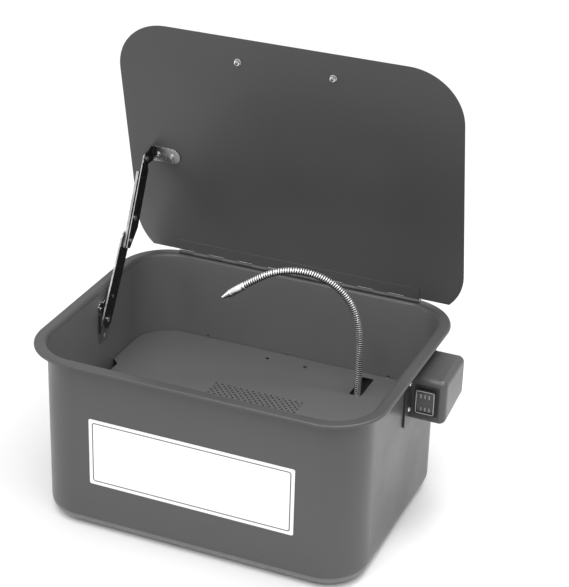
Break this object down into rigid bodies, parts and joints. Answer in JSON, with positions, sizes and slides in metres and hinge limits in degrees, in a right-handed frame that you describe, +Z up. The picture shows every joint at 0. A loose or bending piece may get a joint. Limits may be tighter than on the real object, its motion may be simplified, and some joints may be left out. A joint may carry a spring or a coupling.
{
  "type": "parts washer tank",
  "caption": "Bench-top parts washer: drawn steel tub with a hinged lid on a folding stay, a perforated shelf, a pumped flexible metal spout and a rocker-switch box.",
  "frame": {"origin": "middle of the tub's underside, on the bench", "axes": "+X to the right along the front, +Y from the front to the lid hinge at the back, +Z up"},
  "size_m": [0.596, 0.4375, 0.7037],
  "materials": {
    "tank_enamel": "satin stoved enamel",
    "lid_enamel": "satin stoved enamel",
    "label_white": "gloss film",
    "zinc_plate": "bright zinc plate",
    "bright_steel": "polished",
    "spout_chrome": "polished chrome plate",
    "dark_steel": "satin black",
    "black_plastic": "moulded, lightly textured",
    "black_rubber": "matte",
    "white_plastic": "moulded",
    "brass": "machined"
  },
  "bodies": {
    "tank": {"tank_tub": "tank_enamel", "work_shelf": "tank_enamel", "shelf_supports": "tank_enamel", "shelf_clips": "zinc_plate", "name_label": "label_white", "hinge_tank_leaf": "tank_enamel", "hinge_pin": "zinc_plate", "stay_tank_bracket": "zinc_plate", "tank_bracket_rivets": "bright_steel", "stay_tank_pivot": "bright_steel", "pump_volute": "black_plastic", "pump_motor": "black_plastic", "pump_strainer": "black_plastic", "pump_feet": "black_rubber", "pump_screws": "zinc_plate", "pump_cable": "black_rubber", "cable_grommet": "black_rubber", "box_shell": "tank_enamel", "box_plate": "dark_steel", "box_gasket": "black_rubber", "box_screws": "bright_steel", "switch_bezel": "black_plastic", "switch_collar": "black_plastic", "switch_body": "black_plastic", "rocker_pin": "zinc_plate", "switch_terminals": "brass", "terminal_block": "white_plastic", "cord_gland": "black_plastic", "mains_cord": "black_rubber", "cord_tie": "white_plastic", "mains_plug": "black_rubber", "plug_pins": "brass", "drain_bush": "brass", "drain_nut": "brass", "drain_seal": "black_rubber"},
    "lid": {"lid_panel": "lid_enamel", "hinge_lid_leaf": "lid_enamel", "lid_handle": "black_plastic", "handle_bolts": "zinc_plate", "handle_washers": "zinc_plate", "handle_nuts": "zinc_plate", "stay_lid_bracket": "zinc_plate", "lid_bracket_rivets": "zinc_plate", "stay_lid_pivot": "bright_steel"},
    "upper_link": {"stay_upper_link": "zinc_plate", "stay_channel_rivets": "bright_steel"},
    "lower_link": {"stay_lower_link": "zinc_plate", "stay_link_rivets": "bright_steel"},
    "neck_base": {"spout_riser": "spout_chrome", "spout_nut": "brass"},
    "neck_lower": {"spout_lower": "spout_chrome"},
    "neck_middle": {"spout_middle": "spout_chrome"},
    "neck_upper": {"spout_arc": "spout_chrome", "nozzle_collar": "spout_chrome", "nozzle_tip": "spout_chrome"},
    "rocker": {"switch_rocker": "black_plastic"},
    "impeller": {"pump_impeller": "white_plastic"},
    "drain_plug": {"drain_plug": "brass"}
  },
  "joints": [
    {"name": "lid_hinge", "type": "hinge", "parent": "tank", "child": "lid", "pos_m": [0, 0.2006, 0.2931], "axis": [1, 0, 0], "range_deg": [0, 78.6]},
    {"name": "stay_upper_pivot", "type": "hinge", "parent": "lid", "child": "upper_link", "pos_m": [-0.2412, 0.1443, 0.472], "axis": [1, 0, 0], "range_deg": [-115, 0]},
    {"name": "stay_lower_pivot", "type": "hinge", "parent": "tank", "child": "lower_link", "pos_m": [-0.2503, 0.024, 0.24], "axis": [1, 0, 0], "range_deg": [0, 134.5]},
    {"name": "neck_swivel", "type": "hinge", "parent": "tank", "child": "neck_base", "pos_m": [0.1415, 0.122, 0.068], "axis": [0, 0, 1], "range_deg": [-20, 30]},
    {"name": "neck_fold_lower", "type": "hinge", "parent": "neck_base", "child": "neck_lower", "pos_m": [0.1415, 0.122, 0.172], "axis": [0.9397, 0.342, 0], "range_deg": [0, 27]},
    {"name": "neck_fold_middle", "type": "hinge", "parent": "neck_lower", "child": "neck_middle", "pos_m": [0.1415, 0.122, 0.197], "axis": [0.9397, 0.342, 0], "range_deg": [0, 27]},
    {"name": "neck_fold_upper", "type": "hinge", "parent": "neck_middle", "child": "neck_upper", "pos_m": [0.1415, 0.122, 0.222], "axis": [0.9397, 0.342, 0], "range_deg": [0, 27]},
    {"name": "switch_tilt", "type": "hinge", "parent": "tank", "child": "rocker", "pos_m": [0.2863, 0.022, 0.2257], "axis": [1, 0, 0], "range_deg": [-14, 0]},
    {"name": "impeller_spin", "type": "hinge", "parent": "tank", "child": "impeller", "pos_m": [0.1015, 0.116, 0.02], "axis": [0, 0, 1], "continuous": true},
    {"name": "drain_plug_pull", "type": "slide", "parent": "tank", "child": "drain_plug", "axis": [-1, 0, 0], "range_m": [0, 0.03]}
  ],
  "couplings": [
    {"joint": "stay_upper_pivot", "follows": "lid_hinge", "ratio": -1.4627},
    {"joint": "stay_lower_pivot", "follows": "lid_hinge", "ratio": 1.7102},
    {"joint": "neck_fold_lower", "follows": "lid_hinge", "ratio": 0.34},
    {"joint": "neck_fold_middle", "follows": "lid_hinge", "ratio": 0.34},
    {"joint": "neck_fold_upper", "follows": "lid_hinge", "ratio": 0.34}
  ]
}
